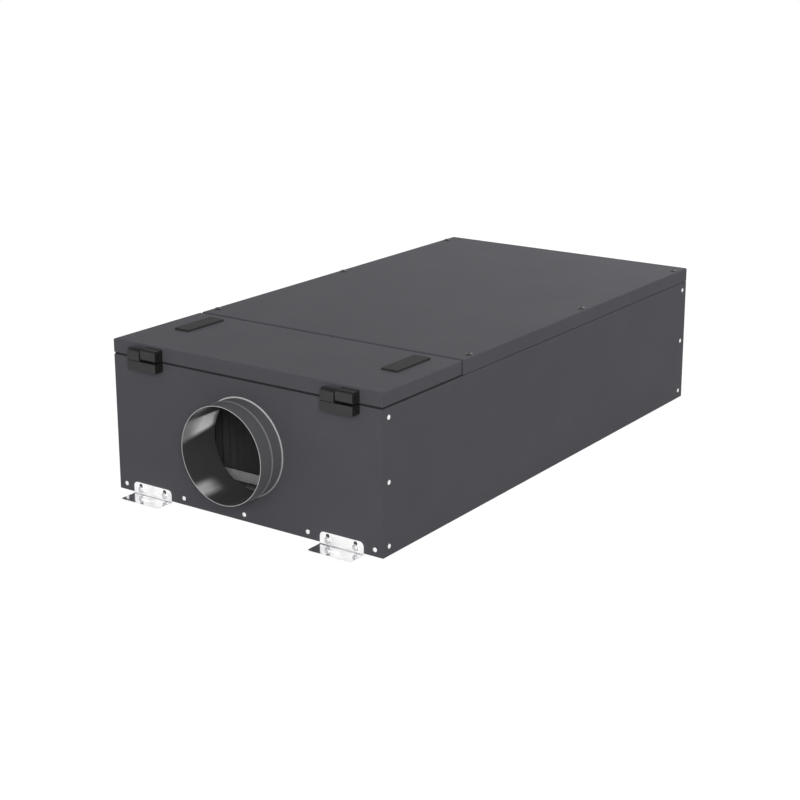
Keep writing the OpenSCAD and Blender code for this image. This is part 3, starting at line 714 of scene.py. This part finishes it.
plastic_look = tint(plastic_tree, plastic_handled, plastic_tone, plastic_rubbed)
plastic_rough = spread(plastic_tree, plastic_grain.outputs["Grain"], (0.3, 0.7), (0.4, 0.55))
lay_finish(plastic_tree, plastic_shader, plastic_look, plastic_rough)
set_relief(plastic_tree, plastic_shader, plastic_grain.outputs["Grain"], 0.00006, strength=0.5)

dress(black_plastic, *hinge_names, "left_hinge_pin", "right_hinge_pin")
ease_edges(hinge_edge, *hinge_names)

# Filter lid: a shallow folded pan like the rear cover, hinged at the front, with two flat
# plastic grips stuck near its rear corners.
grip_names = ("left_grip", "right_grip")
grip_dark = (0.0295, 0.0295, 0.0303, 1.0)
grip_light = (0.038, 0.038, 0.039, 1.0)
grip_edge = 0.0005

dress(casing_coat, "filter_lid")
ease_edges(sheet_edge, "filter_lid")
grip_plastic, grip_tree, grip_shader = new_finish("grip_plastic", specular=0.08, metallic=0.0)
grip_grain = place_effect(grip_tree, grain, {"Grain Size": 0.0012, "Cloud Size": 0.014})
grip_look = tint(grip_tree, grip_grain.outputs["Cloud"], grip_dark, grip_light)
grip_rough = spread(grip_tree, grip_grain.outputs["Grain"], (0.3, 0.7), (0.6, 0.75))
lay_finish(grip_tree, grip_shader, grip_look, grip_rough)
set_relief(grip_tree, grip_shader, grip_grain.outputs["Grain"], depth=0.0001, strength=0.6)
dress(grip_plastic, *grip_names)
ease_edges(grip_edge, *grip_names)

# Studio: a plain pale floor that keeps a soft shadow, an even white surround, and six
# broad lamps. What the camera or a bright surface sees of the surround is plain white.
floor_reach = 12.0
floor_pale = (0.7, 0.7, 0.7, 1.0)
floor_veil = (0.11, 0.11, 0.11, 1.0)
floor_glow = 0.97
surround_level = 0.31


def seen_directly(tree):
    """One for rays from the camera, off a mirror-like surface or through glass, else zero."""
    path = add_node(tree, "ShaderNodeLightPath").outputs
    seen = calculate(tree, "MAXIMUM", path["Is Camera Ray"], path["Is Glossy Ray"])
    return calculate(tree, "MAXIMUM", seen, path["Is Transmission Ray"])


floor_mesh = bpy.data.meshes.new("studio_floor")
floor_corners = [
    (-floor_reach, -floor_reach, 0.0),
    (floor_reach, -floor_reach, 0.0),
    (floor_reach, floor_reach, 0.0),
    (-floor_reach, floor_reach, 0.0),
]
floor_mesh.from_pydata(floor_corners, [], [(0, 1, 2, 3)])
floor = bpy.data.objects.new("studio_floor", floor_mesh)
bpy.context.collection.objects.link(floor)
floor_paint = bpy.data.materials.new("studio_floor")
floor_paint.use_nodes = True
floor_tree = floor_paint.node_tree
floor_tree.nodes.clear()
floor_matt = add_node(floor_tree, "ShaderNodeBsdfDiffuse", {"Color": floor_pale})
floor_shade = add_node(floor_tree, "ShaderNodeBsdfDiffuse", {"Color": floor_veil})
floor_light = add_node(floor_tree, "ShaderNodeEmission", {"Strength": floor_glow})
floor_seen = add_node(
    floor_tree, "ShaderNodeAddShader", {0: floor_shade.outputs[0], 1: floor_light.outputs[0]}
)
floor_mix = add_node(
    floor_tree,
    "ShaderNodeMixShader",
    {0: seen_directly(floor_tree), 1: floor_matt.outputs[0], 2: floor_seen.outputs[0]},
)
add_node(floor_tree, "ShaderNodeOutputMaterial", {"Surface": floor_mix.outputs[0]})
floor_mesh.materials.append(floor_paint)

world = bpy.data.worlds.new("studio")
bpy.context.scene.world = world
world.use_nodes = True
world_tree = world.node_tree
surround = world_tree.nodes["Background"]
surround.inputs["Color"].default_value = (1.0, 1.0, 1.0, 1.0)
world_strength = spread(world_tree, seen_directly(world_tree), (0.0, 1.0), (surround_level, 1.0))
world_tree.links.new(world_strength, surround.inputs["Strength"])


def hang_lamp(name, place, target, size, power):
    """A square soft lamp that looks at the target."""
    lamp = bpy.data.lights.new(name, "AREA")
    lamp.size = size
    lamp.energy = power
    holder = bpy.data.objects.new(name, lamp)
    bpy.context.collection.objects.link(holder)
    holder.location = place
    aim = Vector(target) - Vector(place)
    holder.rotation_euler = aim.to_track_quat("-Z", "Y").to_euler()


hang_lamp("overhead_lamp", (0.4, 1.5, 1.6), (0.0, 0.2, 0.2), size=1.2, power=17.7)
hang_lamp("key_lamp", (3.4, -4.4, 2.2), (0.0, -0.4, 0.1), size=1.8, power=155.0)
hang_lamp("front_lamp", (0.6, -5.6, 2.2), (0.0, -0.4, 0.1), size=1.8, power=46.0)
hang_lamp("side_lamp", (1.3, 0.1, 0.9), (0.27, 0.0, 0.2), size=0.6, power=1.2)
hang_lamp("left_lamp", (-3.2, 0.2, 0.4), (0.0, 0.0, 0.1), size=0.8, power=22.0)
hang_lamp("rear_lamp", (0.25, 4.6, 0.5), (0.0, 0.4, 0.1), size=0.95, power=23.0)

# Camera: a long lens from the front right, a little above the unit.
eye = Vector((1.5815, -2.3272, 0.943))
look_at = Vector((0.0, -0.0757, 0.1959))
camera_roll = -0.0021
sensor_width = 36.0
lens_length = 73.84
lens_drop = -0.07
lens_data = bpy.data.cameras.new("camera")
lens_data.sensor_width = sensor_width
lens_data.lens = lens_length
lens_data.shift_y = lens_drop
camera = bpy.data.objects.new("camera", lens_data)
bpy.context.collection.objects.link(camera)
camera.location = eye
camera.rotation_euler = (look_at - eye).to_track_quat("-Z", "Y").to_euler()
camera.rotation_euler.rotate_axis("Z", camera_roll)
scene = bpy.context.scene
scene.camera = camera
scene.view_settings.view_transform = "Standard"
